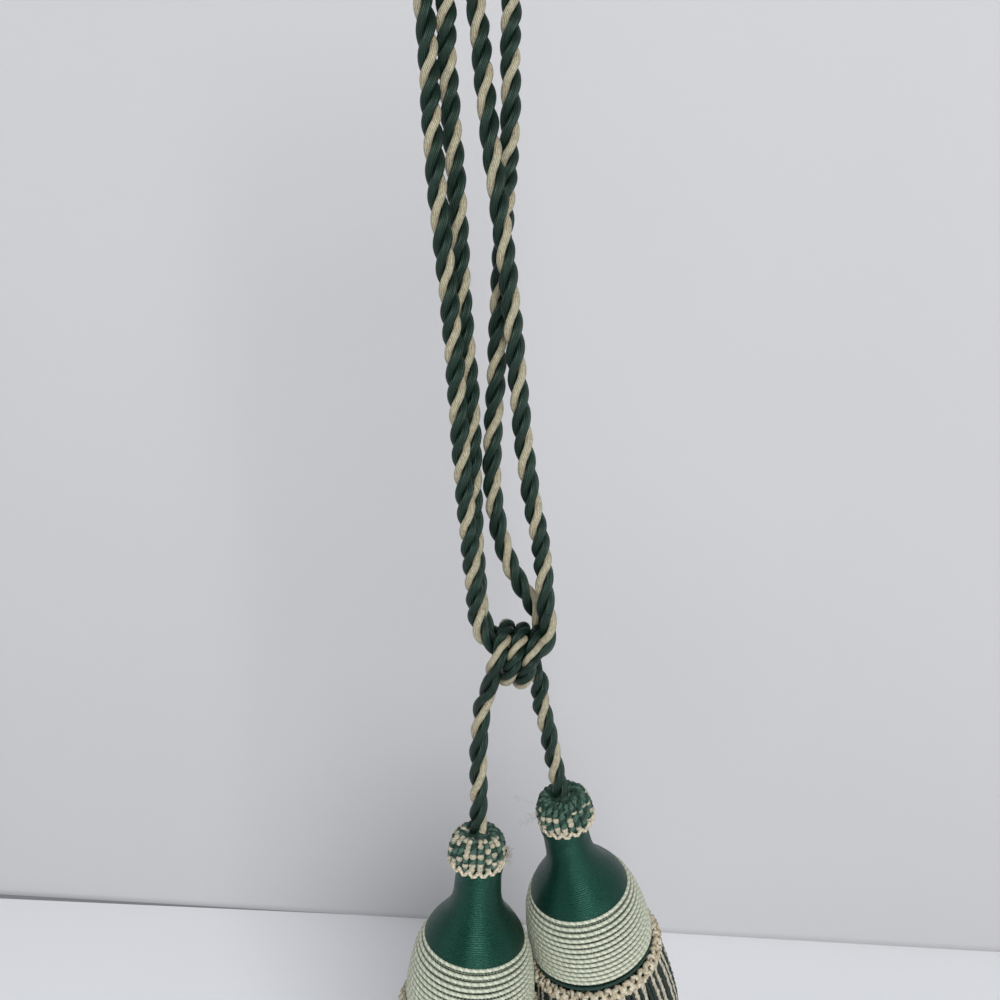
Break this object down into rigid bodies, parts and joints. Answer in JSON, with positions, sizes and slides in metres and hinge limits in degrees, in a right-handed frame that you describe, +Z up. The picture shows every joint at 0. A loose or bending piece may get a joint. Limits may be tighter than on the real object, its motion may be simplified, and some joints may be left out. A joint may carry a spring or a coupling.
{
  "type": "curtain tieback tassel",
  "caption": "Rope curtain tieback that hangs by its loops, with a barrel knot and tassels that have a satin head, wound cord band, gimp edging and cord fringe skirt.",
  "frame": {"origin": "the point that the loops hang from, midway between the tops of their bends", "axes": "+Z up; +X to the right and -Y towards the viewer, with the left tassel in front"},
  "size_m": [0.1402, 0.0971, 0.6136],
  "materials": {
    "twisted_cord": "twisted cotton-blend cord, two dark green strands and one cream strand",
    "looped_gimp_collar": "ribbed looped gimp in dark green and cream",
    "satin_thread": "satin thread wound turn on turn, teal green with a soft sheen",
    "wound_fine_cord": "fine two-ply cord wound round and round, cream and sage",
    "cream_gimp": "looped gimp braid in cream and tan",
    "fringe_cord": "thin twisted fringe cords, cream and dark green in turn"
  },
  "bodies": {
    "root": {"loop_cord_left": "twisted_cord", "loop_cord_right": "twisted_cord", "knot": "twisted_cord", "drop_cord_left": "twisted_cord", "drop_cord_right": "twisted_cord", "collar_left": "looped_gimp_collar", "collar_right": "looped_gimp_collar", "head_left": "satin_thread", "head_right": "satin_thread", "band_left": "wound_fine_cord", "band_right": "wound_fine_cord", "gimp_left": "cream_gimp", "gimp_right": "cream_gimp", "skirt_left": "fringe_cord", "skirt_right": "fringe_cord"}
  },
  "joints": []
}
